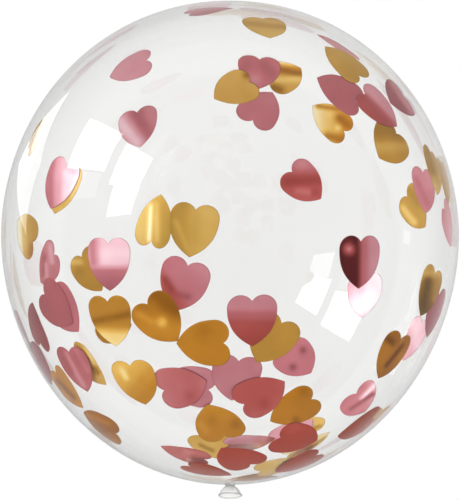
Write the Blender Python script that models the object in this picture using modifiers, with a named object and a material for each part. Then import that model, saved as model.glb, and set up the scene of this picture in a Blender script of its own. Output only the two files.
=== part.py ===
import math

import bpy

# A round party balloon of clear film, tied off at its neck. It lies on its side: the axis runs
# level along Y, the crown points to +Y, and the knot and the flared tail point to -Y.
# Metres, +Z up. The origin is under the middle of the overall length, on the surface it rests on.

# Body
EQUATOR_RADIUS = 0.145
CROWN_LENGTH = 0.1488  # from the widest section to the crown
CROWN_POWERS = (2.1, 1.96)  # across and along the axis, where (2, 2) is half an ellipse
SHOULDER_LENGTH = 0.1573  # from the widest section to the gathered end
SHOULDER_POWERS = (2.0, 1.92)
RESTING_SPOT_WIDTH = 0.044  # the flattened patch underneath, across the axis

# Neck and knot
NECK_RADIUS = 0.0019
NECK_FILLET = 0.0012
NECK_LENGTH = 0.0014  # from the gathered end to the middle of the knot
WRAP_THICKNESS = 0.0019
WRAP_BITE = 0.00065  # how deep the turns of the knot press into the neck
WRAP_SPREAD = 0.0007  # how far each turn of the knot sits from the knot's middle
WRAP_SLANT = math.radians(16)

# Tail, the part of the neck past the knot
TAIL_LENGTH = 0.0060  # from the middle of the knot to the middle of the rolled lip
TAIL_MOUTH_RADIUS = 0.0071  # to the middle of the rolled lip
TAIL_THROAT_RADIUS = 0.0017
TAIL_ROOT = 0.0004  # how far the tail runs back into the neck, inside the knot
TAIL_WALL = 0.0006
TAIL_LIP_RADIUS = 0.00045
TAIL_BEND = math.radians(7)
BELL_ROUNDNESS = 0.55  # 0 is a straight cone, 1 a quarter of an ellipse

# Facets
BODY_SIDES = 84
CROWN_RINGS = 20
SHOULDER_RINGS = 20
FILLET_RINGS = 4
TAIL_SIDES = 32
BELL_RINGS = 9
LIP_RINGS = 6
WRAP_SIDES = 28
WRAP_RINGS = 10

MERGE_DISTANCE = 0.00001
RESTING_BLOCK_SIZE = 3 * RESTING_SPOT_WIDTH

# Places worked out from the sizes above
KNOT_DISTANCE = SHOULDER_LENGTH + NECK_LENGTH
WRAP_RADIUS = NECK_RADIUS + WRAP_THICKNESS / 2 - WRAP_BITE
AXIS_HEIGHT = math.sqrt(EQUATOR_RADIUS**2 - (RESTING_SPOT_WIDTH / 2) ** 2)
TAIL_REACH = (
    TAIL_LENGTH * math.cos(TAIL_BEND)
    + TAIL_MOUTH_RADIUS * math.sin(TAIL_BEND)
    + TAIL_LIP_RADIUS
)
EQUATOR_Y = (KNOT_DISTANCE + TAIL_REACH - CROWN_LENGTH) / 2
KNOT_Y = EQUATOR_Y - KNOT_DISTANCE
LYING_DOWN = -math.pi / 2  # turns a profile's +Z axis to +Y


def clear_scene():
    for old in list(bpy.data.objects):
        bpy.data.objects.remove(old, do_unlink=True)


def make_collection(name):
    collection = bpy.data.collections.new(name)
    bpy.context.scene.collection.children.link(collection)
    return collection


def make_material(name, color, roughness, metallic):
    material = bpy.data.materials.new(name)
    material.use_nodes = True
    shader = material.node_tree.nodes["Principled BSDF"]
    shader.inputs["Base Color"].default_value = (*color, 1)
    shader.inputs["Roughness"].default_value = roughness
    shader.inputs["Metallic"].default_value = metallic
    return material


def arc(center_x, center_z, radius_x, radius_z, start, end, steps):
    """Points along an ellipse in the profile's plane, from one angle to another."""
    points = []
    for i in range(steps + 1):
        angle = start + (end - start) * i / steps
        points.append((center_x + radius_x * math.cos(angle), center_z + radius_z * math.sin(angle)))
    return points


def turn(name, profile, sides, collection):
    """Turns a profile of (x, z) points, which runs down its outer side, about the Z axis."""
    mesh = bpy.data.meshes.new(name)
    edges = [(i, i + 1) for i in range(len(profile) - 1)]
    mesh.from_pydata([(x, 0, z) for x, z in profile], edges, [])
    turned = bpy.data.objects.new(name, mesh)
    collection.objects.link(turned)
    screw = turned.modifiers.new("turned", "SCREW")
    screw.steps = sides
    screw.render_steps = sides
    screw.use_merge_vertices = True
    screw.merge_threshold = MERGE_DISTANCE
    screw.use_smooth_shade = True
    return turned


def half_body(length, powers, end_radius, rings):
    """Points from the widest section to where the body has narrowed to end_radius."""
    across, along = powers
    end_angle = math.acos((end_radius / EQUATOR_RADIUS) ** (across / 2))
    points = []
    for i in range(rings + 1):
        angle = end_angle * i / rings
        radius = EQUATOR_RADIUS * math.cos(angle) ** (2 / across)
        points.append((radius, length * math.sin(angle) ** (2 / along)))
    return points


def balloon_profile():
    """From the crown, round the widest section, down to the gathered neck inside the knot."""
    crown = half_body(CROWN_LENGTH, CROWN_POWERS, 0, CROWN_RINGS)[::-1]
    crown[0] = (0, CROWN_LENGTH)
    gather_radius = NECK_RADIUS + NECK_FILLET
    shoulder = half_body(-SHOULDER_LENGTH, SHOULDER_POWERS, gather_radius, SHOULDER_RINGS)
    gather_z = shoulder[-1][1] - NECK_FILLET
    fillet = arc(gather_radius, gather_z, NECK_FILLET, NECK_FILLET, math.pi / 2, math.pi, FILLET_RINGS)
    neck_end = [(NECK_RADIUS, -KNOT_DISTANCE), (0, -KNOT_DISTANCE)]
    return crown + shoulder[1:] + fillet[1:] + neck_end


def bell(throat_radius, mouth_radius, length, rings):
    """Points down a bell that opens fast under the knot and then runs out to the mouth."""
    points = []
    for i in range(rings + 1):
        share = (i / rings) ** 1.5  # closer points near the throat, where the bell turns fastest
        rounded = math.sqrt(1 - (1 - share) ** 2)
        open_share = BELL_ROUNDNESS * rounded + (1 - BELL_ROUNDNESS) * share
        points.append((throat_radius + (mouth_radius - throat_radius) * open_share, -length * share))
    return points


def tail_profile():
    """The outside of the bell, the rolled lip, and back up the inside."""
    outside = bell(TAIL_THROAT_RADIUS, TAIL_MOUTH_RADIUS, TAIL_LENGTH, BELL_RINGS)
    lip = arc(TAIL_MOUTH_RADIUS, -TAIL_LENGTH, TAIL_LIP_RADIUS, TAIL_LIP_RADIUS,
              math.pi / 2, -math.pi, 2 * LIP_RINGS)
    inside_depth = TAIL_LENGTH - 2 * TAIL_WALL - WRAP_THICKNESS / 2
    inside = bell(0, TAIL_MOUTH_RADIUS - TAIL_LIP_RADIUS - TAIL_WALL, inside_depth, BELL_RINGS)
    inside = [(x, z - (TAIL_LENGTH - inside_depth)) for x, z in reversed(inside)]
    root = [(0, TAIL_ROOT), (TAIL_THROAT_RADIUS, TAIL_ROOT)]
    return root + outside[:-1] + lip + inside[1:]


def make_knot_wrap(name, offset, slant, collection):
    """One turn of the knot, a slanted ring round the neck."""
    bpy.ops.mesh.primitive_torus_add(
        major_segments=WRAP_SIDES,
        minor_segments=WRAP_RINGS,
        major_radius=WRAP_RADIUS,
        minor_radius=WRAP_THICKNESS / 2,
        location=(0, KNOT_Y + offset, AXIS_HEIGHT),
        rotation=(LYING_DOWN + slant, slant, 0),
    )
    wrap = bpy.context.object
    wrap.name = name
    for linked in list(wrap.users_collection):
        linked.objects.unlink(wrap)
    collection.objects.link(wrap)
    return wrap


def make_resting_block(collection):
    """What the balloon lies on, which takes the thin slice off its underside."""
    bpy.ops.mesh.primitive_cube_add(
        size=RESTING_BLOCK_SIZE, location=(0, EQUATOR_Y, -RESTING_BLOCK_SIZE / 2)
    )
    block = bpy.context.object
    block.name = "resting_block"
    for linked in list(block.users_collection):
        linked.objects.unlink(block)
    collection.objects.link(block)
    return block


def hide_helper(helper):
    helper.hide_render = True
    helper.display_type = "WIRE"


def combine(target, helper, operation):
    boolean = target.modifiers.new(helper.name, "BOOLEAN")
    boolean.operation = operation
    boolean.solver = "EXACT"
    boolean.object = helper
    hide_helper(helper)


clear_scene()
parts = make_collection("confetti_balloon")
helpers = make_collection("helpers")

film = make_material("clear_film", (0.93, 0.93, 0.92), 0.08, 0)

balloon = turn("balloon", balloon_profile(), BODY_SIDES, parts)
balloon.rotation_euler = (LYING_DOWN, 0, 0)
balloon.location = (0, EQUATOR_Y, AXIS_HEIGHT)
balloon.data.materials.append(film)

tail = turn("tail", tail_profile(), TAIL_SIDES, helpers)
tail.rotation_euler = (LYING_DOWN - TAIL_BEND, 0, 0)
tail.location = (0, KNOT_Y, AXIS_HEIGHT)

for index, side in enumerate((1, -1)):
    wrap = make_knot_wrap(f"knot_wrap_{index + 1}", side * WRAP_SPREAD, side * WRAP_SLANT, helpers)
    combine(tail, wrap, "UNION")
combine(balloon, tail, "UNION")
combine(balloon, make_resting_block(helpers), "DIFFERENCE")
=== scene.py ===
import math
import random

import bpy
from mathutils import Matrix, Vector
from mathutils.bvhtree import BVHTree


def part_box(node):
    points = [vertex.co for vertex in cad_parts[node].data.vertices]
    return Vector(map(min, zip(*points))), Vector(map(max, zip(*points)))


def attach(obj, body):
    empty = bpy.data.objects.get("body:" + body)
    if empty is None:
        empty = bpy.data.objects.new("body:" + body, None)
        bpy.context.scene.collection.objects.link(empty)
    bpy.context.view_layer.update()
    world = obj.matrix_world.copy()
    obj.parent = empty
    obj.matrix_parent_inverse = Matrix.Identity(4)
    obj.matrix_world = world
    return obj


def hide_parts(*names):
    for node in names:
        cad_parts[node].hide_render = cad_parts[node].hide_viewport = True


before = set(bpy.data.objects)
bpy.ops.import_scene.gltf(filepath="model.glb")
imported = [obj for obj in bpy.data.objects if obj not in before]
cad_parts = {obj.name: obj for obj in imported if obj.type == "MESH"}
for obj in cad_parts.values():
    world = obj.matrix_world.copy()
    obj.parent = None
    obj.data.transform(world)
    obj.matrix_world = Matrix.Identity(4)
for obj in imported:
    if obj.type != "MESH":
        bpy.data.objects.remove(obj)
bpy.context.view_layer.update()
cadLow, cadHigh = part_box("balloon")

# sizes are metres unless a note says otherwise
filmShape = {
    "radius": (cadHigh.x - cadLow.x) / 2,
    "crownLength": 0.1488,  # widest section to crown
    "crownPowers": (2.1, 1.96),  # across and along, (2, 2) would be half an ellipse
    "shoulderLength": 0.1573,  # widest section to gathered end
    "shoulderPowers": (2.0, 1.92),
    "neckRadius": 0.0019,
    "neckFillet": 0.0012,
    "neckLength": 0.0014,  # gathered end to the middle of the knot
    "wall": 0.00012,
    "sides": 96,
    "crownRings": 34,
    "shoulderRings": 34,
    "crownHole": 0.003,  # radius of the last ring before the crown is closed
    "spotInset": 0.0025,  # flat margin round the resting spot
    "sliver": 0.0003,
    "cutHeight": 0.00002,  # the film's underside over the floor
}
axisHeight = cadHigh.z - filmShape["radius"]
equatorY = cadHigh.y - filmShape["crownLength"]
knotY = equatorY - filmShape["shoulderLength"] - filmShape["neckLength"]

cameraView = {
    "elevation": 78,  # degrees above the floor, looking along +Y
    "distance": 1.45,
    "target": Vector((0, -0.00026, axisHeight)),
    "pixelsPerSlope": 2284,  # focal length in pixels of the photograph
    "frame": (460, 500),
    "sensor": 36,
}


def deselectAll():
    if bpy.context.object and bpy.context.object.mode != "OBJECT":
        bpy.ops.object.mode_set(mode="OBJECT")
    bpy.ops.object.select_all(action="DESELECT")


def pick(piece):
    deselectAll()
    piece.select_set(True)
    bpy.context.view_layer.objects.active = piece


def settle(piece):
    # puts a finished piece's place into its mesh
    pick(piece)
    bpy.ops.object.transform_apply(location=True, rotation=True, scale=True)


def applyModifiers(piece):
    pick(piece)
    for modifier in list(piece.modifiers):
        bpy.ops.object.modifier_apply(modifier=modifier.name)


def smoothShade(piece):
    pick(piece)
    bpy.ops.object.shade_smooth()


def recalculateNormals(piece, mergeDistance=0.00001):
    pick(piece)
    bpy.ops.object.mode_set(mode="EDIT")
    bpy.ops.mesh.select_all(action="SELECT")
    bpy.ops.mesh.remove_doubles(threshold=mergeDistance)
    bpy.ops.mesh.normals_make_consistent(inside=False)
    bpy.ops.object.mode_set(mode="OBJECT")


# Camera, as the photograph was taken
def addCamera():
    view = cameraView
    tilt = math.radians(view["elevation"])
    back = Vector((0, -math.cos(tilt), math.sin(tilt)))
    data = bpy.data.cameras.new("camera")
    camera = bpy.data.objects.new("camera", data)
    bpy.context.scene.collection.objects.link(camera)
    camera.location = view["target"] + back * view["distance"]
    camera.rotation_euler = (math.pi / 2 - tilt, 0, 0)
    data.sensor_width = view["sensor"]
    data.lens = view["pixelsPerSlope"] * view["sensor"] / max(view["frame"])
    data.clip_end = 20
    bpy.context.scene.camera = camera
    bpy.context.view_layer.update()
    return camera


def lineOfSight(pixel):
    # direction from the camera through a pixel of the photograph
    width, height = cameraView["frame"]
    right = (pixel[0] - width / 2) / cameraView["pixelsPerSlope"]
    up = (height / 2 - pixel[1]) / cameraView["pixelsPerSlope"]
    turn = camera.matrix_world.to_3x3()
    return (turn @ Vector((right, up, -1))).normalized()


camera = addCamera()
print("camera placed")


# Film: body, knot and tail
def bodyRings():
    # (radius, place along the axis) from the neck to the crown
    shape = filmShape
    rings = [(shape["neckRadius"], -shape["shoulderLength"] - shape["neckLength"])]
    gather = shape["neckRadius"] + shape["neckFillet"]
    across, along = shape["shoulderPowers"]
    endAngle = math.acos((gather / shape["radius"]) ** (across / 2))
    gatherPlace = -shape["shoulderLength"] * math.sin(endAngle) ** (2 / along)
    for i in (0, 1, 2):
        angle = math.radians(180 - 30 * i)
        rings.append((
            gather + shape["neckFillet"] * math.cos(angle),
            gatherPlace - shape["neckFillet"] * (1 - math.sin(angle)),
        ))
    for i in range(shape["shoulderRings"]):
        angle = endAngle * (1 - i / shape["shoulderRings"])
        rings.append((
            shape["radius"] * math.cos(angle) ** (2 / across),
            -shape["shoulderLength"] * math.sin(angle) ** (2 / along),
        ))
    across, along = shape["crownPowers"]
    lastAngle = math.acos((shape["crownHole"] / shape["radius"]) ** (across / 2))
    for i in range(shape["crownRings"] + 1):
        angle = lastAngle * i / shape["crownRings"]
        rings.append((
            shape["radius"] * math.cos(angle) ** (2 / across),
            shape["crownLength"] * math.sin(angle) ** (2 / along),
        ))
    return rings


def extrudeRings(rings):
    # draws a turned shell up the Z axis from the selected open ring
    lastRadius, lastPlace = rings[0]
    for radius, place in rings[1:]:
        bpy.ops.mesh.extrude_region_move(
            TRANSFORM_OT_translate={"value": (0, 0, place - lastPlace)}
        )
        grow = radius / lastRadius
        bpy.ops.transform.resize(value=(grow, grow, 1), center_override=(0, 0, place))
        lastRadius, lastPlace = radius, place


def selectPlace(piece, keep):
    # in edit mode: selects the vertices that keep says yes to
    bpy.ops.object.mode_set(mode="OBJECT")
    for vertex in piece.data.vertices:
        vertex.select = bool(keep(vertex.co))
    for edge in piece.data.edges:
        edge.select = all(piece.data.vertices[i].select for i in edge.vertices)
    for face in piece.data.polygons:
        face.select = all(piece.data.vertices[i].select for i in face.vertices)
    bpy.ops.object.mode_set(mode="EDIT")


def addBody():
    rings = bodyRings()
    deselectAll()
    bpy.ops.mesh.primitive_circle_add(
        vertices=filmShape["sides"], radius=rings[0][0], location=(0, 0, rings[0][1])
    )
    body = bpy.context.object
    body.name = "balloonBody"
    settle(body)
    bpy.ops.object.mode_set(mode="EDIT")
    bpy.ops.mesh.select_all(action="SELECT")
    extrudeRings(rings)
    # the last ring is closed at the crown, the first one inside the knot
    bpy.ops.mesh.extrude_region_move(
        TRANSFORM_OT_translate={"value": (0, 0, filmShape["crownLength"] - rings[-1][1])}
    )
    bpy.ops.mesh.merge(type="CENTER")
    selectPlace(body, lambda co: co.z < rings[0][1] + 1e-6)
    bpy.ops.mesh.edge_face_add()
    bpy.ops.object.mode_set(mode="OBJECT")
    body.rotation_euler = (-math.pi / 2, 0, 0)
    body.location = (0, equatorY, axisHeight)
    settle(body)
    recalculateNormals(body)
    finer = body.modifiers.new("finer", "SUBSURF")
    finer.levels = 1
    finer.render_levels = 1
    applyModifiers(body)
    # the film lies flat where it touches the floor
    bpy.ops.object.mode_set(mode="EDIT")
    bpy.ops.mesh.select_all(action="SELECT")
    bpy.ops.mesh.bisect(
        plane_co=(0, 0, filmShape["cutHeight"]), plane_no=(0, 0, 1), use_fill=True, clear_inner=True
    )
    bpy.ops.mesh.inset(thickness=filmShape["spotInset"])
    # slivers where the cut passes close to a vertex
    selectPlace(body, lambda co: co.z < filmShape["sliver"] * 2)
    bpy.ops.mesh.remove_doubles(threshold=filmShape["sliver"])
    bpy.ops.object.mode_set(mode="OBJECT")
    recalculateNormals(body)
    smoothShade(body)
    return body


body = addBody()
wallTree = BVHTree.FromPolygons(
    [v.co for v in body.data.vertices], [p.vertices for p in body.data.polygons]
)
wall = body.modifiers.new("wall", "SOLIDIFY")
wall.thickness = filmShape["wall"]
wall.offset = -1
applyModifiers(body)
print("film body", len(body.data.polygons), "faces")

tailShape = {
    "length": 0.0060,  # middle of the knot to middle of the rolled lip
    "mouthRadius": 0.0071,
    "throatRadius": 0.0017,
    "roundness": 0.55,  # 0 is a cone, 1 a quarter of an ellipse
    "root": 0.0004,
    "wall": 0.00035,
    "lipRadius": 0.00045,
    "bend": 7,  # degrees
    "sides": 64,
    "rings": 18,
    "lipSides": 16,
    "pleats": 9,
    "pleatDepth": 0.12,  # share of the radius at the throat
    "mouthWave": 0.03,  # share of the radius at the lip
}
knotShape = {
    "turnThickness": 0.0019,
    "bite": 0.00065,
    "spread": 0.0007,
    "slant": 16,  # degrees
    "sides": 64,
    "rings": 18,
    "lumps": 0.09,  # share of the turn's thickness
}


def addTail():
    shape = tailShape
    rings = [(shape["throatRadius"], -shape["root"])]
    for i in range(shape["rings"] + 1):
        share = (i / shape["rings"]) ** 1.5
        rounded = math.sqrt(1 - (1 - share) ** 2)
        opened = shape["roundness"] * rounded + (1 - shape["roundness"]) * share
        flare = shape["mouthRadius"] - shape["throatRadius"]
        rings.append((shape["throatRadius"] + flare * opened, shape["length"] * share))
    rings[-1] = (rings[-1][0], shape["length"] - shape["lipRadius"] / 2)
    deselectAll()
    bpy.ops.mesh.primitive_circle_add(
        vertices=shape["sides"], radius=rings[0][0], location=(0, 0, rings[0][1])
    )
    tail = bpy.context.object
    tail.name = "flaredTail"
    settle(tail)
    bpy.ops.object.mode_set(mode="EDIT")
    bpy.ops.mesh.select_all(action="SELECT")
    extrudeRings(rings)
    bpy.ops.object.mode_set(mode="OBJECT")
    recalculateNormals(tail)
    wall = tail.modifiers.new("wall", "SOLIDIFY")
    wall.thickness = shape["wall"]
    wall.offset = -1
    applyModifiers(tail)
    # the rolled lip
    bpy.ops.mesh.primitive_torus_add(
        major_segments=shape["sides"], minor_segments=shape["lipSides"], major_radius=shape["mouthRadius"],
        minor_radius=shape["lipRadius"], location=(0, 0, shape["length"])
    )
    lip = bpy.context.object
    settle(lip)
    deselectAll()
    lip.select_set(True)
    tail.select_set(True)
    bpy.context.view_layer.objects.active = tail
    bpy.ops.object.join()
    # pleats run from the knot and die out towards a slightly wavy mouth
    for vertex in tail.data.vertices:
        angle = math.atan2(vertex.co.y, vertex.co.x)
        share = min(1, max(0, vertex.co.z / shape["length"]))
        pleat = math.sin(shape["pleats"] * angle + 0.7 * math.sin(2 * angle))
        wave = math.sin(3 * angle + 0.8) + 0.5 * math.sin(5 * angle)
        grow = 1 + shape["pleatDepth"] * pleat * (1 - share) ** 1.5 + shape["mouthWave"] * wave * share
        vertex.co.x *= grow
        vertex.co.y *= grow
    tail.rotation_euler = (math.pi / 2 - math.radians(shape["bend"]), 0, 0)
    tail.location = (0, knotY, axisHeight)
    settle(tail)
    recalculateNormals(tail)
    smoothShade(tail)
    return tail


def addKnot():
    shape = knotShape
    turns = []
    radius = filmShape["neckRadius"] + shape["turnThickness"] / 2 - shape["bite"]
    for side in (1, -1):
        deselectAll()
        slant = math.radians(side * shape["slant"])
        bpy.ops.mesh.primitive_torus_add(
            major_segments=shape["sides"], minor_segments=shape["rings"], major_radius=radius,
            minor_radius=shape["turnThickness"] / 2
        )
        turn = bpy.context.object
        # the film is twisted as it goes round, so the turn is a lumpy cord
        for vertex in turn.data.vertices:
            angle = math.atan2(vertex.co.y, vertex.co.x)
            core = Vector((math.cos(angle), math.sin(angle), 0)) * radius
            out = vertex.co - core
            around = math.atan2(out.z, out.xy.length)
            lump = math.sin(5 * angle + 2 * around + side) + 0.6 * math.sin(11 * angle - 3 * around)
            vertex.co = core + out * (1 + shape["lumps"] * lump)
        turn.rotation_euler = (-math.pi / 2 + slant, slant, 0)
        turn.location = (0, knotY + side * shape["spread"], axisHeight)
        settle(turn)
        turns.append(turn)
    deselectAll()
    for turn in turns:
        turn.select_set(True)
    bpy.context.view_layer.objects.active = turns[0]
    bpy.ops.object.join()
    knot = turns[0]
    knot.name = "neckKnot"
    smoothShade(knot)
    return knot


tail = addTail()
knot = addKnot()
print("knot and tail", len(knot.data.polygons) + len(tail.data.polygons), "faces")

# Foil hearts
heartShape = {
    "lobeRadius": 0.00795,
    "lobeApart": 0.0066,  # each lobe's centre from the middle line
    "tipDepth": 0.0232,  # below the lobes' centres
    "sideHandles": ((0.01455, -0.0098), (0.0110, -0.0173)),  # bend the side from lobe to tip
    "lobeShare": 0.43,  # share of the edge's points that lie on the lobes
    "thickness": 0.00006,
    "rim": 0.0004,  # width of the cut edge that shows darker
    "meanRadius": 1.6,  # from the heart's middle to its edge, in lobe radii
    "sides": 56,
    "insetRings": (0.88, 0.76, 0.64, 0.52, 0.40, 0.27, 0.14),
    "lobeReach": 0.01455,  # from the middle line to a lobe's outermost point
    "layerGap": 0.0003,  # between hearts that lie one over another
    "wallGap": 0.0002,
}
notchHeight = math.sqrt(heartShape["lobeRadius"] ** 2 - heartShape["lobeApart"] ** 2)
heartMiddle = Vector((0, (notchHeight - heartShape["tipDepth"]) / 2, 0))


def heartOutline(share):
    # a point on the heart's edge, share 0 at the notch, 0.5 at the tip, once round
    shape = heartShape
    side = 1 if share < 0.5 else -1
    half = share * 2 if share < 0.5 else (1 - share) * 2
    notchAngle = math.atan2(notchHeight, -shape["lobeApart"])
    if half <= shape["lobeShare"]:
        angle = notchAngle * (1 - half / shape["lobeShare"])
        x = shape["lobeApart"] + shape["lobeRadius"] * math.cos(angle)
        y = shape["lobeRadius"] * math.sin(angle)
        return Vector((side * x, y, 0))
    along = (half - shape["lobeShare"]) / (1 - shape["lobeShare"])
    lobeSide = (shape["lobeApart"] + shape["lobeRadius"], 0)
    corners = (lobeSide, *shape["sideHandles"], (0, -shape["tipDepth"]))
    weights = ((1 - along) ** 3, 3 * along * (1 - along) ** 2, 3 * along ** 2 * (1 - along), along ** 3)
    x = sum(weight * corner[0] for weight, corner in zip(weights, corners))
    y = sum(weight * corner[1] for weight, corner in zip(weights, corners))
    return Vector((side * x, y, 0))


def addHeartMaster():
    shape = heartShape
    deselectAll()
    bpy.ops.mesh.primitive_circle_add(vertices=shape["sides"], radius=1)
    master = bpy.context.object
    master.name = "heartMaster"
    settle(master)
    bpy.ops.object.mode_set(mode="EDIT")
    bpy.ops.mesh.select_all(action="SELECT")
    rimShare = 1 - shape["rim"] / (shape["lobeRadius"] * shape["meanRadius"])
    last = 1
    for size in (rimShare,) + shape["insetRings"]:
        bpy.ops.mesh.extrude_region_move()
        bpy.ops.transform.resize(value=(size / last,) * 3, center_override=(0, 0, 0))
        last = size
    bpy.ops.mesh.extrude_region_move()
    bpy.ops.mesh.merge(type="CENTER")
    bpy.ops.object.mode_set(mode="OBJECT")
    # each ring of the disc takes the heart's outline at its own size
    rim = master.data.attributes.new("rim", "FLOAT", "POINT")
    for vertex in master.data.vertices:
        size = vertex.co.length
        share = (math.atan2(vertex.co.x, vertex.co.y) / (2 * math.pi)) % 1
        edge = heartOutline(share)
        vertex.co = heartMiddle + (edge - heartMiddle) * size
        rim.data[vertex.index].value = 1 if size > (1 + rimShare) / 2 else 0
    recalculateNormals(master)
    wall = master.modifiers.new("wall", "SOLIDIFY")
    wall.thickness = shape["thickness"]
    wall.offset = 0
    applyModifiers(master)
    return master


def gleam(at, wide, paintedReflection, to=None):
    # a soft spot or streak of painted reflection on a heart, a painted highlight where bright and painted
    # shade where dark; at and to are pixels of the photograph
    return {"at": at, "to": to or at, "wide": wide, "paintedReflection": paintedReflection}


def heartAt(foil, wall, notch, tip, tones, warm, **more):
    return dict(foil=foil, wall=wall, notch=notch, tip=tip, tones=tones, warm=warm, **more)
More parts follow.
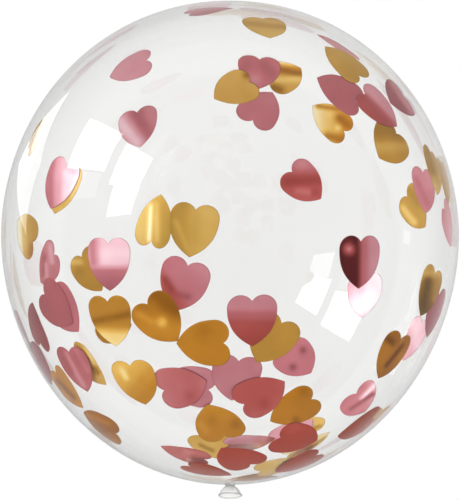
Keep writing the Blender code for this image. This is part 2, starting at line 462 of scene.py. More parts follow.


# Where each heart lies: read off the photograph, then set right against measures of the photograph and
# of renders. In order: the foil, the side of the film that the heart clings to as the camera sees it,
# the pixels of its notch and tip, its tones and its warmth. The tones are painted reflection and shade:
# they run evenly from one side of the heart to the other, 0 dark and 1 bright, towards the direction
# light, in degrees anticlockwise from the picture's right. Warmth goes from 0, olive or mauve, to 1,
# orange or red, and past it for the deepest reds. layer counts inwards from the film, for hearts that
# lie one over another. lean turns a heart about its long line, in degrees. The spots and streaks on
# some hearts are painted highlights where bright and painted shade where dark.
heartPlaces = {
    "crownRose": heartAt("rose", "far", (193.5, 11.7), (232, 7), (0.52, 0.62), 0.1, lean=-6),
    "crownGold": heartAt("gold", "far", (263.5, 19.5), (269.5, 36), (0.6, 0.56), 0.0,
        gleams=(gleam((246, 23), 2.6, 0.44, (284, 27)), gleam((248, 18), 2, 0.6, (284, 22)))),
    "topRoseLeft": heartAt("rose", "far", (145.8, 59.7), (109.2, 76.5), (0.63, 0.6), 0.05),
    "topRoseLow": heartAt("rose", "far", (136.5, 111.5), (139.8, 147.5), (0.58, 0.56), 0.1,
        gleams=(gleam((134, 112), 7, 0.42, (151, 138)), gleam((152, 113), 6, 0.57),
                gleam((119, 120), 8, 0.86, (136, 142)))),
    "groupRoseTop": heartAt("rose", "far", (259.5, 61), (258.5, 86.5), (0.46, 0.48), 0.3, layer=2,
        gleams=(gleam((246, 65), 7, 0.38), gleam((264, 65), 6, 0.34, (273, 73)),
                gleam((255, 80), 8, 0.62))),
    "groupGoldRight": heartAt("gold", "far", (269, 80.5), (302.5, 67), (0.55, 0.58),
        (0.4, 0.2, 0.9, 0.3), layer=1,
        gleams=(gleam((272, 61), 4, 0.92, (298, 62)), gleam((276, 69), 4, 0.22, (301, 74)),
                gleam((276, 80), 3, 0.7, (301, 79)), gleam((273, 87), 4, 0.2, (280, 90)))),
    "groupGoldLeft": heartAt("gold", "far", (248, 82), (214.5, 98), (0.55, 0.62), 0.3, layer=3,
        gleams=(gleam((247, 75), 4, 0.22),)),
    "groupRoseLow": heartAt("rose", "far", (253, 119.7), (272.5, 92), (0.48, 0.5), 0.1, layer=2),
    "rightTopPale": heartAt("rose", "near", (352, 55), (320.5, 35.5), (0.58, 0.54), 0.4, layer=1, lean=-22),
    "rightTopGold": heartAt("gold", "near", (358.5, 74), (326.3, 46.3), (0.5, 0.53), 0.2),
    "rightRoseHigh": heartAt("rose", "near", (355.5, 100.3), (318.5, 78), (0.4, 0.44), 0.3, layer=1),
    "rightGoldHigh": heartAt("gold", "far", (342.5, 129), (314.5, 106.5), (0.56, 0.78, 0.93),
        (0.95, 0.6, 0.1), light=180,
        gleams=(gleam((318, 106), 2.4, 0.4, (338, 109)), gleam((340, 118), 5, 0.34, (350, 126)),
                gleam((328, 136), 4.5, 0.36, (342, 140)), gleam((338, 128), 3.5, 0.9))),
    "rightRoseBand": heartAt("rose", "near", (367, 95), (396.5, 125), (0.42, 0.36, 0.66, 0.62),
        (0.95, 0.7, 0.2, 0.1), light=45),
    "rightRoseLimb": heartAt("rose", "far", (403.8, 95.5), (392, 102), (0.24, 0.26), 0.1,
        gleams=(gleam((392, 84), 2.5, 0.5, (412, 112)),)),
    "rightGoldTall": heartAt("gold", "near", (397, 133), (379.5, 158), (0.5, 0.45), 0.35, layer=1,
        gleams=(gleam((378, 128), 9, 0.34, (402, 134)), gleam((377, 147), 6, 0.6, (407, 146)))),
    "leftGoldLimb": heartAt("gold", "near", (30, 144), (51.5, 112), (0.3, 0.95, 1.0, 1.0), 0, lean=7,
        light=0,
        gleams=(gleam((31, 142), 1.6, 0.12, (41, 120)),)),
    "leftRoseHigh": heartAt("rose", "near", (65, 166), (50.5, 207.5), (0.42, 0.45, 0.68, 0.86, 0.9), 0.0,
        light=0,
        gleams=(gleam((65, 166), 3.5, 0.72, (76, 172)),)),
    "leftGoldBehind": heartAt("gold", "near", (66, 172), (55, 210.5), (0.58, 0.62), 0.0, layer=1),
    "leftGoldPale": heartAt("gold", "far", (30, 240), (18, 223), (0.5, 0.53, 0.7, 1.0, 1.0), 0.1,
        light=180),
    "leftRoseMiddle": heartAt("rose", "far", (52, 258), (41, 279), (0.5, 0.54), 0.15, lean=13,
        gleams=(gleam((44, 256), 2, 0.34, (43, 274)), gleam((50, 245), 2.4, 0.72, (52, 262)),
                gleam((46, 264), 2, 0.66, (47, 280)))),
    "leftRoseDark": heartAt("rose", "near", (45, 295.5), (71, 322), (0.32, 0.34), 0.3),
    "leftRoseUnder": heartAt("rose", "near", (54, 296), (77.5, 330.5), (0.46, 0.4), 0.15, layer=1),
    "leftRoseLimb": heartAt("rose", "near", (39, 343), (31.5, 303), (0.22, 0.16), 0.4, lean=6),
    "leftGreyLimb": heartAt("rose", "near", (25, 343), (17, 310), (0.2, 0.24), 0.0, layer=1, lean=-4),
    "leftPaleLimb": heartAt("rose", "near", (30, 350), (50, 383), (0.27, 0.3), 0.0, lean=-22, layer=3),
    "lowLeftRose": heartAt("rose", "near", (68.8, 353), (87, 392), (0.5, 0.47), 0.4,
        gleams=(gleam((66, 354), 2.6, 0.66, (84, 386)), gleam((60, 350), 3, 0.38, (70, 372)),
                gleam((76, 350), 2.6, 0.56, (88, 372)))),
    "lowLeftGold": heartAt("gold", "near", (76, 353), (104.5, 384), (0.64, 0.62), 0.35, layer=1,
        lean=-11,
        gleams=(gleam((88, 350), 4, 0.8, (97, 376)), gleam((95, 368), 3, 0.4, (98, 372)))),
    "lowLeftEdge": heartAt("gold", "near", (56, 374), (82, 408.5), (0.5, 0.5), 0.9, layer=1, lean=-26,
        gleams=(gleam((57, 380), 2.4, 0.22, (74, 398)),)),
    "lowLeftBrown": heartAt("gold", "far", (112.5, 432), (85, 415.5), (0.26, 0.3), 1.1, lean=8,
        gleams=(gleam((88, 415), 2.6, 0.4, (108, 424)), gleam((112, 436), 4, 0.36, (120, 441)))),
    "middleGoldLeft": heartAt("gold", "near", (151, 240), (160.5, 195), (0.36, 0.4, 0.5, 0.62, 0.66),
        0.0, lean=25, layer=1, light=180,
        gleams=(gleam((151, 206), 2.6, 0.9, (149, 240)), gleam((156, 204), 3, 0.6, (157, 240)))),
    "middleGoldRight": heartAt("gold", "near", (195.5, 210.5), (189.3, 256.5),
        (0.36, 0.42, 0.53, 0.58, 0.56), 0.1, light=0,
        gleams=(gleam((182, 204), 6, 0.38), gleam((176, 222), 3, 0.54, (188, 250)))),
    "middleRoseDark": heartAt("rose", "far", (293.3, 172.5), (320.5, 198), (0.52, 0.44, 0.38, 0.5),
        (0.7, 0.9, 0.9, 0.2),
        gleams=(gleam((302, 164), 8, 0.6), gleam((286, 182), 5, 0.27, (318, 180)),
                gleam((298, 191), 4, 0.6, (308, 192)), gleam((316, 193), 4, 0.3))),
    "centreGoldBehind": heartAt("gold", "far", (81.3, 258), (100.5, 290.5), (0.44, 0.5), 0.25,
        gleams=(gleam((71, 262), 3, 0.7, (80, 262)), gleam((80, 272), 5, 0.38))),
    "centreRosePale": heartAt("rose", "near", (107.5, 244), (109.5, 291),
        (0.3, 0.36, 0.44, 0.84, 0.88, 0.84), 0.05,
        gleams=(gleam((92, 242), 6, 0.52, (93, 262)),)),
    "centreRosePatch": heartAt("rose", "near", (187, 268.7), (176.5, 308), (0.3, 0.42, 0.5, 0.52, 0.54),
        (1.0, 0.9, 0.15, 0.05, 0.05), layer=1, light=35,
        gleams=(gleam((165, 279), 4, 0.2, (172, 290)), gleam((176, 294), 4, 0.3, (188, 297)))),
    "centreGoldBand": heartAt("gold", "near", (107, 301.5), (116, 347), (0.4, 0.42, 0.46, 0.84, 0.92),
        0.6, light=270,
        gleams=(gleam((90, 322), 4, 0.22, (130, 314)),)),
    "centreGoldLow": heartAt("gold", "far", (98, 324), (130, 325), (0.36, 0.28), 0.5),
    "centreGoldBrown": heartAt("gold", "near", (147.5, 305), (177, 341), (0.36, 0.4, 0.48, 0.42), 0.85,
        light=270,
        gleams=(gleam((156, 295), 9, 0.2, (176, 309)), gleam((162, 322), 5, 0.8),
                gleam((138, 314), 4, 0.55, (152, 322)))),
    "centreGoldFlat": heartAt("gold", "near", (222, 343.5), (177.5, 343.5), (0.46, 0.44), 0.9, layer=1,
        gleams=(gleam((205, 330), 8, 0.33), gleam((188, 344), 4, 0.48, (210, 352)))),
    "frontRose": heartAt("rose", "near", (252.3, 302), (252.3, 346),
        (0.28, 0.32, 0.35, 0.36, 0.45, 0.57, 0.56), (0.95, 0.95, 0.95, 0.9, 0.5, 0.05, 0.0)),
    "frontGold": heartAt("gold", "near", (280, 326), (258.5, 360), (0.46, 0.48, 0.5), 0.3, layer=1),
    "frontRoseSmall": heartAt("rose", "far", (288, 351), (311, 373.3), (0.48, 0.48), 0.0,
        gleams=(gleam((303, 350), 4, 0.2), gleam((293, 367), 4, 0.2))),
    "lowGoldBright": heartAt("gold", "near", (129.7, 366), (145.5, 405.5), (0.48, 0.5, 0.56, 0.7, 0.78),
        0.8, light=135,
        gleams=(gleam((122, 370), 3, 0.95, (126, 378)),)),
    "lowRoseBack": heartAt("rose", "near", (207.5, 390), (163, 379), (0.53, 0.56), 0.1, layer=3),
    "lowRoseFront": heartAt("rose", "near", (164.4, 390.8), (206, 381.5), (0.57, 0.54, 0.5, 0.54), 0.65,
        layer=1, light=0,
        gleams=(gleam((203, 384), 5, 0.56), gleam((190, 396), 5, 0.4))),
    "lowRoseBehind": heartAt("rose", "near", (238, 365), (232, 398), (0.54, 0.54), 0.1, layer=2),
    "lowRoseWide": heartAt("rose", "near", (245.5, 404), (284, 382.5), (0.52, 0.5), 1.0,
        gleams=(gleam((264, 404), 6, 0.36),)),
    "rightRoseShaded": heartAt("rose", "near", (361.5, 242.5), (359, 288),
        (0.0, 0.03, 0.0, 0.5, 0.6, 0.6), (0.7, 0.7, 0.7, 0.3, 0.0, 0.0), light=0,
        gleams=(gleam((349, 249), 5, 0.72),)),
    "rightRoseWindow": heartAt("rose", "far", (366, 284), (363, 313), (0.72, 0.78, 0.96, 1.0), 0.0,
        light=0),
    "rightGoldEdge": heartAt("gold", "near", (432, 153), (438, 195), (0.5, 0.46, 0.6, 0.68), 0.15,
        lean=5, light=270,
        gleams=(gleam((428, 152), 2.5, 0.34, (433, 172)), gleam((433, 187), 4, 0.82))),
    "rightTanLimb": heartAt("gold", "far", (442.5, 166), (448.5, 203), (0.42, 0.4), 0.0, layer=1, lean=-4),
    "rightRoseSide": heartAt("rose", "far", (424, 177), (426.3, 209), (0.52, 0.54), 0.05, layer=1,
        gleams=(gleam((416, 178), 2.4, 0.42, (428, 204)),)),
    "rightGoldSide": heartAt("gold", "far", (408.7, 197.5), (425.5, 225.8), (0.48, 0.52), 0.1,
        gleams=(gleam((403, 208), 3.4, 0.74, (414, 222)), gleam((410, 190), 4, 0.4, (418, 204)))),
    "rightRoseFaint": heartAt("rose", "far", (446, 212), (452, 244), (0.62, 0.58), 0.0, lean=-5),
    "rightGoldLow": heartAt("gold", "near", (435.2, 275), (421.5, 315), (0.12, 0.22, 0.44, 0.72), 0.35,
        gleams=(gleam((438, 280), 3.5, 0.5, (434, 300)), gleam((431, 267), 5, 0.56),
                gleam((428, 282), 5, 0.0, (423, 308)))),
    "rightMauveLimb": heartAt("rose", "near", (440, 295), (427.5, 338), (0.42, 0.46), 0.15, layer=1),
    "rightPinkPale": heartAt("rose", "far", (422, 325), (404.5, 359.5), (0.66, 0.7, 0.84, 0.82), 0.0,
        light=0),
    "rightGoldDark": heartAt("gold", "near", (401, 340), (379.5, 378), (0.3, 0.42, 0.34), 1.0,
        gleams=(gleam((384, 336), 3.5, 0.05, (392, 342)), gleam((386, 366), 2, 0.06, (402, 346)),
                gleam((386, 350), 5, 0.42))),
    "lowRightPink": heartAt("rose", "far", (356.5, 393.5), (366.5, 413), (0.5, 0.52, 0.66), 0.1, light=0,
        gleams=(gleam((375, 385), 2.6, 0.97, (362, 399)), gleam((351, 409), 2, 0.2, (373, 394)))),
    "lowRightDark": heartAt("rose", "near", (372, 419), (339, 436), (0.27, 0.29), 1.6, lean=3,
        gleams=(gleam((346, 430), 2.2, 0.3, (374, 409)),)),
    "lowRightTan": heartAt("gold", "near", (381, 414), (351, 436), (0.38, 0.36), 0.4, layer=4, lean=12),
    "bottomGold": heartAt("gold", "near", (224, 435.5), (208, 406), (0.48, 0.52), 0.9,
        gleams=(gleam((236, 424), 6, 0.34), gleam((212, 420), 5, 0.4),
                gleam((201, 424), 4, 0.56, (206, 430)))),
    "bottomGoldPale": heartAt("gold", "far", (208.5, 441.7), (219, 456), (0.54, 0.54), 0.05,
        gleams=(gleam((200, 445), 2, 0.26, (213, 451)),)),
    "bottomRosePale": heartAt("rose", "near", (229.5, 446), (276, 439), (0.76, 0.74, 0.7, 0.6),
        (0.1, 0.1, 0.4, 0.8), lean=-14, layer=1, light=0,
        gleams=(gleam((232, 446), 3.2, 1.0, (258, 447)), gleam((230, 441), 3, 0.68, (246, 438)))),
    "bottomRoseLeft": heartAt("rose", "near", (205, 460.5), (159, 446.5), (0.6, 0.6), 1.15, layer=1,
        lean=9,
        gleams=(gleam((166, 450), 2.4, 0.6, (192, 458)), gleam((186, 452), 3, 0.74, (206, 457)),
                gleam((188, 460), 2.5, 1.0, (206, 462)))),
    "bottomRoseDark": heartAt("rose", "near", (192, 467.5), (230, 476), (0.29, 0.33), 1.7, lean=-6),
    "bottomRoseRed": heartAt("rose", "near", (248, 464), (223.5, 450), (0.44, 0.44), 1.4, lean=3),
    "bottomRosePiece": heartAt("rose", "far", (283, 440), (310, 422), (0.62, 0.64), 0.0, layer=1),
    "bottomGoldRight": heartAt("gold", "near", (310.5, 400.5), (271.3, 421.5), (0.46, 0.46), 1.0,
        layer=1,
        gleams=(gleam((303, 391), 5, 0.36), gleam((284, 402), 4, 0.47, (292, 410)),
                gleam((296, 420), 4, 0.26))),
    "bottomRoseRight": heartAt("rose", "near", (283, 438.5), (316, 441), (0.45, 0.42), 1.35,
        gleams=(gleam((289, 430), 6, 0.52, (297, 427)),)),
    "bottomGoldFaint": heartAt("gold", "far", (312, 433), (284, 427), (0.6, 0.66), 0.1,
        gleams=(gleam((311, 430), 1.8, 0.3, (320, 426)),)),
    "bottomGoldLong": heartAt("gold", "near", (291.5, 454), (329.5, 433), (0.82, 0.86, 0.9), 0.25,
        lean=-10, layer=1,
        gleams=(gleam((284, 455), 4, 0.95, (304, 449)), gleam((306, 450), 1.5, 0.5, (326, 437)))),
    "bottomGoldThin": heartAt("gold", "near", (265, 471), (301, 460), (0.7, 0.8), 0.3, layer=3),
    "bottomRoseThin": heartAt("rose", "near", (316, 456.5), (275.5, 473), (0.34, 0.34), 1.6),
    "bottomGoldKnot": heartAt("gold", "near", (265, 477), (233, 481), (0.25, 0.3), 1.0, layer=2, lean=-9),
}

heartCurl = {
    "least": 0.8,  # lift of a heart's ends off the film, metres per square metre from its middle
    "most": 2.8,
    "crowdReach": 0.033,  # hearts with another one closer than this lie flat
    "ripple": 0.00006,
    "rippleLength": 0.018,
    "rippleSlant": 0.6,  # share of the way from notch to tip that the ripples follow
    "reach": 0.0145,  # half a heart, for reading its tones
}
heartSeed = 7
filmSearch = {
    "past": 0.002,  # how far past the near film the search for the far film starts
    "back": 0.02,  # how far inside a heart the search for the film outside it starts
    "step": 0.00025,
    "steps": 120,
}


def wallPoint(pixel, wall):
    # where the line of sight meets the film, on its near or far side
    origin = camera.location
    direction = lineOfSight(pixel)
    spot, normal = wallTree.ray_cast(origin, direction)[:2]
    if spot is None:
        raise ValueError(f"the pixel {pixel} misses the balloon")
    if wall == "near":
        return spot, normal
    beyond, farNormal = wallTree.ray_cast(spot + direction * filmSearch["past"], direction)[:2]
    return (beyond, farNormal) if beyond is not None else (spot, normal)


def pixelOf(point):
    # where a point shows in the photograph
    local = camera.matrix_world.inverted() @ point
    slope = cameraView["pixelsPerSlope"]
    width, height = cameraView["frame"]
    return Vector((width / 2 - slope * local.x / local.z, height / 2 + slope * local.y / local.z))


def readTones(tones, place):
    # smooth steps through the tones, place runs from -1 to 1
    at = min(1, max(0, (place + 1) / 2)) * (len(tones) - 1)
    low = min(int(at), len(tones) - 2)
    share = at - low
    share = share * share * (3 - 2 * share)
    return tones[low] * (1 - share) + tones[low + 1] * share


# blends a painted spot, bright highlight and dark shade alike, into the painted reflection
def addPaintedSpot(paintedReflection, pixel, mark):
    start = Vector(mark["at"])
    run = Vector(mark["to"]) - start
    along = 0
    if run.length > 0:
        along = min(1, max(0, (pixel - start).dot(run) / run.length_squared))
    away = (pixel - start - run * along).length / mark["wide"]
    return paintedReflection + (mark["paintedReflection"] - paintedReflection) * math.exp(-away ** 2)


def standOff(middle, pixel, wall, clearance):
    # moves a heart's middle off the film, along the line of sight, so that it shows at the same pixel
    direction = lineOfSight(pixel) * (1 if wall == "near" else -1)
    best, bestDepth = middle, 0
    for step in range(filmSearch["steps"]):
        spot = middle + direction * step * filmSearch["step"]
        depth = wallTree.find_nearest(spot)[3]
        if depth > bestDepth:
            best, bestDepth = spot, depth
        if depth >= clearance:
            break
    return best


def heartStand(place):
    # where a heart lies: its middle, the way out through the film, and its own up
    middlePixel = ((place["notch"][0] + place["tip"][0]) / 2, (place["notch"][1] + place["tip"][1]) / 2)
    notchSpot = wallPoint(place["notch"], place["wall"])[0]
    tipSpot = wallPoint(place["tip"], place["wall"])[0]
    middle = wallPoint(middlePixel, place["wall"])[0]
    depth = heartShape["wallGap"] + place.get("layer", 0) * heartShape["layerGap"]
    raised = heartShape["lobeReach"] * abs(math.sin(math.radians(place.get("lean", 0))))
    middle = standOff(middle, middlePixel, place["wall"], depth + raised)
    outward = (wallTree.find_nearest(middle)[0] - middle).normalized()
    upward = notchSpot - tipSpot
    upward = (upward - outward * upward.dot(outward)).normalized()
    return middle, outward, upward


def onFilm(point, outward, depth):
    # the place on the film outside a point, drawn in by the depth
    inner = point - outward * filmSearch["back"]
    outer = wallTree.ray_cast(inner, outward)[0]
    return (outer if outer is not None else point) - outward * depth


def insideFilm(point, depth):
    # a point that would pass the film is drawn back inside it
    outer = wallTree.find_nearest(point)[0]
    outward = (outer - Vector((0, equatorY, axisHeight))).normalized()
    past = (point - outer).dot(outward) + depth
    return point - outward * past if past > 0 else point


def placeHeart(master, name, place, crowded, draw):
    middle, outward, upward = heartStand(place)
    across = upward.cross(outward).normalized()
    turn = camera.matrix_world.to_3x3()
    # the way in which the painted reflection brightens, turned from the picture into the heart's plane
    angle = math.radians(place.get("light", 90))
    lightWay = turn @ Vector((math.cos(angle), math.sin(angle), 0))
    lightWay = Vector((lightWay.dot(across), lightWay.dot(upward), 0)).normalized()
    depth = heartShape["wallGap"] + place.get("layer", 0) * heartShape["layerGap"]
    lean = math.radians(place.get("lean", 0))
    curlAngle = draw.uniform(0, math.pi)
    curl = draw.uniform(heartCurl["least"], heartCurl["most"])
    if crowded:
        curl = 0
    phase = draw.uniform(0, 2 * math.pi)
    warm = place["warm"]

    heart = master.copy()
    heart.data = master.data.copy()
    heart.name = name
    bpy.context.scene.collection.objects.link(heart)
    paintedReflection = heart.data.attributes.new("paintedReflection", "FLOAT", "POINT")
    warmth = heart.data.attributes.new("warmth", "FLOAT", "POINT")
    for vertex in heart.data.vertices:
        local = vertex.co - heartMiddle
        bend = curl * (local.x * math.cos(curlAngle) + local.y * math.sin(curlAngle)) ** 2
        run = local.x * math.sin(curlAngle + phase) + local.y * heartCurl["rippleSlant"]
        ripple = heartCurl["ripple"] * (1 + math.sin(phase + 2 * math.pi / heartCurl["rippleLength"] * run))
        if crowded:
            ripple = 0
        point = middle + across * local.x * math.cos(lean) + upward * local.y
        if lean:
            sag = local.y ** 2 / (2 * filmShape["radius"])
            point = insideFilm(point - outward * (local.x * math.sin(lean) + sag), depth)
        else:
            point = onFilm(point, outward, depth)
        vertex.co = point - outward * (bend + ripple - local.z)
        # painted reflection and shade across the heart, with painted highlight and shade spots laid over it
        along = Vector((local.x, local.y, 0)).dot(lightWay) / heartCurl["reach"]
        shade = readTones(place["tones"], along)
        pixel = pixelOf(vertex.co)
        for mark in place.get("gleams", ()):
            shade = addPaintedSpot(shade, pixel, mark)
        paintedReflection.data[vertex.index].value = shade
        warmth.data[vertex.index].value = readTones(warm, along) if isinstance(warm, tuple) else warm
    recalculateNormals(heart, 0.000001)
    smoothShade(heart)
    return heart


def addHearts():
    master = addHeartMaster()
    draw = random.Random(heartSeed)
    middles = {name: heartStand(place)[0] for name, place in heartPlaces.items()}
    hearts = {}
    for name, place in heartPlaces.items():
        crowded = any(
            (middles[name] - middle).length < heartCurl["crowdReach"]
            for other, middle in middles.items() if other != name
        )
        hearts[name] = placeHeart(master, name, place, crowded, draw)
    bpy.data.objects.remove(master, do_unlink=True)
    return hearts


hearts = addHearts()
print("foil hearts", len(hearts))

# Finishes
filmFinish = {
    "tint": (0.968, 0.968, 0.962, 1),
    "roughness": 0.0,
    "bend": 1.45,  # index of refraction
    "shadow": (0.95, 0.95, 0.95, 1),  # what the lamps' light keeps in passing
}
gatheredFinish = {
    # the unstretched film of the knot and tail is thick and milky
    "colour": (0.94, 0.94, 0.93, 1),
    "roughness": 0.15,
    "seeThrough": 0.85,
    "fold": 900,  # folds per metre
    "foldDepth": 0.0002,
    "foldStrength": 0.5,
}
foilFinish = {
    # each foil's ramps run from its painted shade at 0 to its painted highlight at 1
    "gold": {
        "slot": "gold_foil",
        "cool": ((0.0, (0.17, 0.09, 0.012)), (0.25, (0.30, 0.165, 0.022)), (0.5, (0.50, 0.30, 0.060)),
                 (0.75, (0.79, 0.56, 0.18)), (1.0, (0.98, 0.95, 0.74))),
        "warm": ((0.0, (0.13, 0.045, 0.002)), (0.25, (0.30, 0.10, 0.003)), (0.5, (0.55, 0.225, 0.016)),
                 (0.75, (0.79, 0.45, 0.075)), (1.0, (0.98, 0.82, 0.30))),
        "rim": (0.38, 0.22, 0.04, 1),
    },
    "rose": {
        "slot": "rose_foil",
        "cool": ((0.0, (0.10, 0.020, 0.024)), (0.25, (0.30, 0.088, 0.105)), (0.5, (0.50, 0.172, 0.200)),
                 (0.75, (0.73, 0.40, 0.46)), (1.0, (0.97, 0.82, 0.88))),
        "warm": ((0.0, (0.10, 0.008, 0.008)), (0.25, (0.33, 0.052, 0.038)), (0.5, (0.48, 0.100, 0.088)),
                 (0.75, (0.65, 0.23, 0.22)), (1.0, (0.94, 0.66, 0.68))),
        "rim": (0.34, 0.10, 0.11, 1),
    },
    "metal": 0.45,
    "rough": 0.24,
    "creaseSize": 55,  # per metre
    "creaseDepth": 0.0007,
    "creaseStrength": 0.35,
    "grainSize": 2600,
    "grain": 0.05,  # how far the fine grain moves the roughness
    "paintedCreaseShading": 0.07,  # how far the painted shade and highlight of the soft creases move the painted reflection
}


def newFinish(name):
    finish = bpy.data.materials.new(name)
    finish.use_nodes = True
    nodes = finish.node_tree.nodes
    nodes.clear()
    output = nodes.new("ShaderNodeOutputMaterial")
    shader = nodes.new("ShaderNodeBsdfPrincipled")
    finish.node_tree.links.new(shader.outputs["BSDF"], output.inputs["Surface"])
    return finish, nodes, finish.node_tree.links, shader, output


def makeFilmFinish(name):
    finish, nodes, links, shader, output = newFinish(name)
    shader.inputs["Base Color"].default_value = filmFinish["tint"]
    shader.inputs["Roughness"].default_value = filmFinish["roughness"]
    shader.inputs["IOR"].default_value = filmFinish["bend"]
    shader.inputs["Transmission Weight"].default_value = 1
    # lamps shine through the film
    path = nodes.new("ShaderNodeLightPath")
    clear = nodes.new("ShaderNodeBsdfTransparent")
    clear.inputs["Color"].default_value = filmFinish["shadow"]
    mix = nodes.new("ShaderNodeMixShader")
    links.new(path.outputs["Is Shadow Ray"], mix.inputs[0])
    links.new(shader.outputs["BSDF"], mix.inputs[1])
    links.new(clear.outputs["BSDF"], mix.inputs[2])
    links.new(mix.outputs["Shader"], output.inputs["Surface"])
    return finish


def makeGatheredFinish(name):
    look = gatheredFinish
    finish, nodes, links, shader, output = newFinish(name)
    shader.inputs["Base Color"].default_value = look["colour"]
    shader.inputs["Roughness"].default_value = look["roughness"]
    shader.inputs["Transmission Weight"].default_value = look["seeThrough"]
    place = nodes.new("ShaderNodeTexCoord")
    folds = nodes.new("ShaderNodeTexNoise")
    folds.inputs["Scale"].default_value = look["fold"]
    links.new(place.outputs["Object"], folds.inputs["Vector"])
    bump = nodes.new("ShaderNodeBump")
    bump.inputs["Distance"].default_value = look["foldDepth"]
    bump.inputs["Strength"].default_value = look["foldStrength"]
    links.new(folds.outputs["Fac"], bump.inputs["Height"])
    links.new(bump.outputs["Normal"], shader.inputs["Normal"])
    return finish


def addShades(nodes, links, shades, level):
    ramp = nodes.new("ShaderNodeValToRGB")
    while len(ramp.color_ramp.elements) < len(shades):
        ramp.color_ramp.elements.new(0.5)
    for element, (position, colour) in zip(ramp.color_ramp.elements, shades):
        element.position = position
        element.color = (*colour, 1)
    links.new(level, ramp.inputs["Fac"])
    return ramp.outputs["Color"]


def addBlend(nodes, links, share, first, second):
    blend = nodes.new("ShaderNodeMix")
    blend.data_type = "RGBA"
    blend.clamp_factor = False
    links.new(share, blend.inputs["Factor"])
    links.new(first, blend.inputs["A"])
    if isinstance(second, tuple):
        blend.inputs["B"].default_value = second
    else:
        links.new(second, blend.inputs["B"])
    return blend.outputs["Result"]


def readAttribute(nodes, name):
    attribute = nodes.new("ShaderNodeAttribute")
    attribute.attribute_name = name
    return attribute.outputs["Fac"]


def makeFoilFinish(name, foil):
    look = foilFinish
    finish, nodes, links, shader, output = newFinish(name)
    shader.inputs["Metallic"].default_value = look["metal"]
    shader.inputs["Specular IOR Level"].default_value = 0
    place = nodes.new("ShaderNodeTexCoord")
    crease = nodes.new("ShaderNodeTexNoise")
    crease.inputs["Scale"].default_value = look["creaseSize"]
    crease.inputs["Detail"].default_value = 1
    links.new(place.outputs["Object"], crease.inputs["Vector"])
    # painted shade and highlight from the creases: they lift and lower the painted reflection a little
    paintedCreaseShade = nodes.new("ShaderNodeMapRange")
    paintedCreaseShade.inputs["To Min"].default_value = -look["paintedCreaseShading"]
    paintedCreaseShade.inputs["To Max"].default_value = look["paintedCreaseShading"]
    links.new(crease.outputs["Fac"], paintedCreaseShade.inputs["Value"])
    level = nodes.new("ShaderNodeMath")
    links.new(paintedCreaseShade.outputs["Result"], level.inputs[0])
    links.new(readAttribute(nodes, "paintedReflection"), level.inputs[1])
    # the painted reflection and shade become colour through the foil's cool and warm ramps
    cool = addShades(nodes, links, look[foil]["cool"], level.outputs[0])
    warm = addShades(nodes, links, look[foil]["warm"], level.outputs[0])
    colour = addBlend(nodes, links, readAttribute(nodes, "warmth"), cool, warm)
    colour = addBlend(nodes, links, readAttribute(nodes, "rim"), colour, look[foil]["rim"])
    links.new(colour, shader.inputs["Base Color"])
    grain = nodes.new("ShaderNodeTexNoise")
    grain.inputs["Scale"].default_value = look["grainSize"]
    links.new(place.outputs["Object"], grain.inputs["Vector"])
    rough = nodes.new("ShaderNodeMapRange")
    rough.inputs["To Min"].default_value = look["rough"] - look["grain"]
    rough.inputs["To Max"].default_value = look["rough"] + look["grain"]
    links.new(grain.outputs["Fac"], rough.inputs["Value"])
    links.new(rough.outputs["Result"], shader.inputs["Roughness"])
    bump = nodes.new("ShaderNodeBump")
    bump.inputs["Distance"].default_value = look["creaseDepth"]
    bump.inputs["Strength"].default_value = look["creaseStrength"]
    links.new(crease.outputs["Fac"], bump.inputs["Height"])
    links.new(bump.outputs["Normal"], shader.inputs["Normal"])
    return finish


clearFilm = makeFilmFinish("clearFilm")
gatheredFilm = makeGatheredFinish("gatheredFilm")
foils = {
    "gold": makeFoilFinish("goldFoil", "gold"),
    "rose": makeFoilFinish("roseFoil", "rose"),
}
for piece, finish in ((body, clearFilm), (tail, gatheredFilm), (knot, gatheredFilm)):
    piece.data.materials.clear()
    piece.data.materials.append(finish)
    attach(piece, "root")
    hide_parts("balloon")
for name, heart in hearts.items():
    foil = heartPlaces[name]["foil"]
    heart.data.materials.clear()
    heart.data.materials.append(foils[foil])
    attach(heart, "root")
print("finishes given")

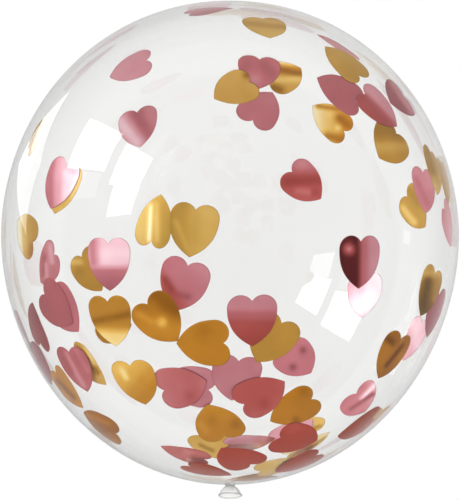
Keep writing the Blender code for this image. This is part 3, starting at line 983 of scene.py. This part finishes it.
# Studio
studio = {
    "floorSize": 8,
    "floorColour": (0.06, 0.06, 0.06, 1),
    "floorGlow": 0.90,
    "sheetCentre": (0.015, 0.07, 0),
    "sheetReach": (0.16, 0.36),  # the film mirrors a grey sheet, which ends between these radii
    "sheetBright": 0.74,
    "pastSheet": 0.22,
    "skySeen": 1.03,
    "skyLight": 2.05,  # what lights the floor and the foil
    "skyWay": (-0.38, 0.90, 0.15),  # the room is brighter towards this side
    "skyReach": (-0.35, 0.9),  # where along that way it starts and stops getting brighter
    "skyDim": 0.14,  # what the film mirrors on the room's dark side and overhead
    "skyBright": 0.32,
    "skyInside": (0.55, 0.4),  # the same room in the foil: a start and a share of the film's
    "sheetInside": (0.35, 1.0),
    "filmFaces": 2.5,  # light that has passed more faces of film than this comes from inside
    "windowTurn": -60,  # degrees from +Y towards +X
    "windowDistance": 1.15,
    "paneBrightness": 5.0,
    "panes": {
        "lower": dict(across=-0.02, height=0.465, size=(0.34, 0.49), bright=1),
        "upper": dict(across=0.06, height=1.09, size=(0.40, 0.51), bright=1),
        "lowerSide": dict(across=0.28, height=0.52, size=(0.22, 0.34), bright=0.12),
        "upperSide": dict(across=0.42, height=1.14, size=(0.38, 0.46), bright=0.5),
    },
    # light patches that only the film mirrors: place, what they face, size, turn and brightness
    "patches": {
        "leftFloor": dict(at=(-0.41, 0.19, 0.004), facing="up", size=(0.25, 0.22), turn=20, bright=1.7),
        "rightFloor": dict(at=(0.56, -0.157, 0.004), facing="up", size=(0.24, 0.07), turn=12, bright=0.8),
        "rightWall": dict(at=(1.15, 0.02, 0.115), facing="left", size=(0.10, 0.08), turn=0, bright=1.3),
    },
}


def socketValue(links, socket, value):
    if isinstance(value, (int, float)):
        socket.default_value = value
    else:
        links.new(value, socket)


def addMath(nodes, links, operation, first, second):
    step = nodes.new("ShaderNodeMath")
    step.operation = operation
    socketValue(links, step.inputs[0], first)
    socketValue(links, step.inputs[1], second)
    return step.outputs[0]


def addChoice(nodes, links, share, zero, one):
    mix = nodes.new("ShaderNodeMix")
    socketValue(links, mix.inputs["Factor"], share)
    socketValue(links, mix.inputs["A"], zero)
    socketValue(links, mix.inputs["B"], one)
    return mix.outputs["Result"]


def addFade(nodes, links, value, start, end, low, high):
    fade = nodes.new("ShaderNodeMapRange")
    fade.interpolation_type = "SMOOTHSTEP"
    for name, number in (("From Min", start), ("From Max", end), ("To Min", low), ("To Max", high)):
        fade.inputs[name].default_value = number
    links.new(value, fade.inputs["Value"])
    return fade.outputs["Result"]


def addInside(nodes, links, path, brightness, look):
    # the foil inside mirrors a brighter room than the film does, so that it isn't veiled
    start, share = look
    inside = addMath(nodes, links, "ADD", addMath(nodes, links, "MULTIPLY", brightness, share), start)
    deep = addMath(nodes, links, "GREATER_THAN", path.outputs["Transmission Depth"], studio["filmFaces"])
    return addChoice(nodes, links, deep, brightness, inside)


def addFloor():
    deselectAll()
    bpy.ops.mesh.primitive_plane_add(size=studio["floorSize"])
    floor = bpy.context.object
    floor.name = "paleFloor"
    finish, nodes, links, shader, output = newFinish("floorPaper")
    shader.inputs["Base Color"].default_value = studio["floorColour"]
    shader.inputs["Roughness"].default_value = 0.9
    shader.inputs["Specular IOR Level"].default_value = 0
    shader.inputs["Emission Color"].default_value = (1, 1, 1, 1)
    shader.inputs["Emission Strength"].default_value = studio["floorGlow"]
    path = nodes.new("ShaderNodeLightPath")
    place = nodes.new("ShaderNodeTexCoord")
    radius = nodes.new("ShaderNodeVectorMath")
    radius.operation = "DISTANCE"
    links.new(place.outputs["Object"], radius.inputs[0])
    radius.inputs[1].default_value = studio["sheetCentre"]
    start, end = studio["sheetReach"]
    away = radius.outputs["Value"]
    sheet = addFade(nodes, links, away, start, end, studio["sheetBright"], studio["pastSheet"])
    mirrored = nodes.new("ShaderNodeEmission")
    links.new(addInside(nodes, links, path, sheet, studio["sheetInside"]), mirrored.inputs["Strength"])
    turned = addMath(nodes, links, "GREATER_THAN", path.outputs["Glossy Depth"], 0.5)
    unlit = addMath(nodes, links, "LESS_THAN", path.outputs["Diffuse Depth"], 0.5)
    mix = nodes.new("ShaderNodeMixShader")
    links.new(addMath(nodes, links, "MULTIPLY", turned, unlit), mix.inputs[0])
    links.new(shader.outputs["BSDF"], mix.inputs[1])
    links.new(mirrored.outputs["Emission"], mix.inputs[2])
    links.new(mix.outputs["Shader"], output.inputs["Surface"])
    floor.data.materials.append(finish)


def addSky():
    world = bpy.data.worlds.new("studioSky")
    bpy.context.scene.world = world
    world.use_nodes = True
    nodes = world.node_tree.nodes
    links = world.node_tree.links
    back = nodes["Background"]
    place = nodes.new("ShaderNodeTexCoord")
    facing = nodes.new("ShaderNodeVectorMath")
    facing.operation = "DOT_PRODUCT"
    links.new(place.outputs["Generated"], facing.inputs[0])
    facing.inputs[1].default_value = studio["skyWay"]
    start, end = studio["skyReach"]
    room = addFade(nodes, links, facing.outputs["Value"], start, end, studio["skyDim"], studio["skyBright"])
    path = nodes.new("ShaderNodeLightPath")
    mirrored = addInside(nodes, links, path, room, studio["skyInside"])
    lit = addMath(nodes, links, "GREATER_THAN", path.outputs["Diffuse Depth"], 0.5)
    strength = addChoice(nodes, links, lit, mirrored, studio["skyLight"])
    turns = addMath(nodes, links, "ADD", path.outputs["Diffuse Depth"], path.outputs["Glossy Depth"])
    straight = addMath(nodes, links, "LESS_THAN", turns, 0.5)
    strength = addChoice(nodes, links, straight, strength, studio["skySeen"])
    links.new(strength, back.inputs["Strength"])
    back.inputs["Color"].default_value = (1, 1, 1, 1)


def addLamp(name, size, bright):
    # a rectangle of light that the camera doesn't see
    data = bpy.data.lights.new(name, "AREA")
    data.shape = "RECTANGLE"
    data.size, data.size_y = size
    data.energy = bright * size[0] * size[1] * math.pi
    lamp = bpy.data.objects.new(name, data)
    bpy.context.scene.collection.objects.link(lamp)
    lamp.visible_camera = False
    return lamp


def addWindow():
    turn = math.radians(studio["windowTurn"])
    away = Vector((math.sin(turn), math.cos(turn), 0))
    side = Vector((0, 0, 1)).cross(away)
    for name, pane in studio["panes"].items():
        lamp = addLamp(name + "Pane", pane["size"], studio["paneBrightness"] * pane["bright"])
        lamp.location = away * studio["windowDistance"] + side * pane["across"]
        lamp.location.z = pane["height"]
        lamp.rotation_euler = (-away).to_track_quat("-Z", "Y").to_euler()


def addPatches():
    for name, patch in studio["patches"].items():
        lamp = addLamp(name + "Patch", patch["size"], patch["bright"])
        lamp.location = patch["at"]
        turn = math.radians(patch["turn"])
        lamp.rotation_euler = (math.pi, 0, turn) if patch["facing"] == "up" else (0, math.pi / 2, turn)
        lamp.visible_diffuse = False
        lamp.visible_transmission = False


addFloor()
addSky()
addWindow()
addPatches()
bpy.context.scene.view_settings.view_transform = "Standard"
print("studio ready")
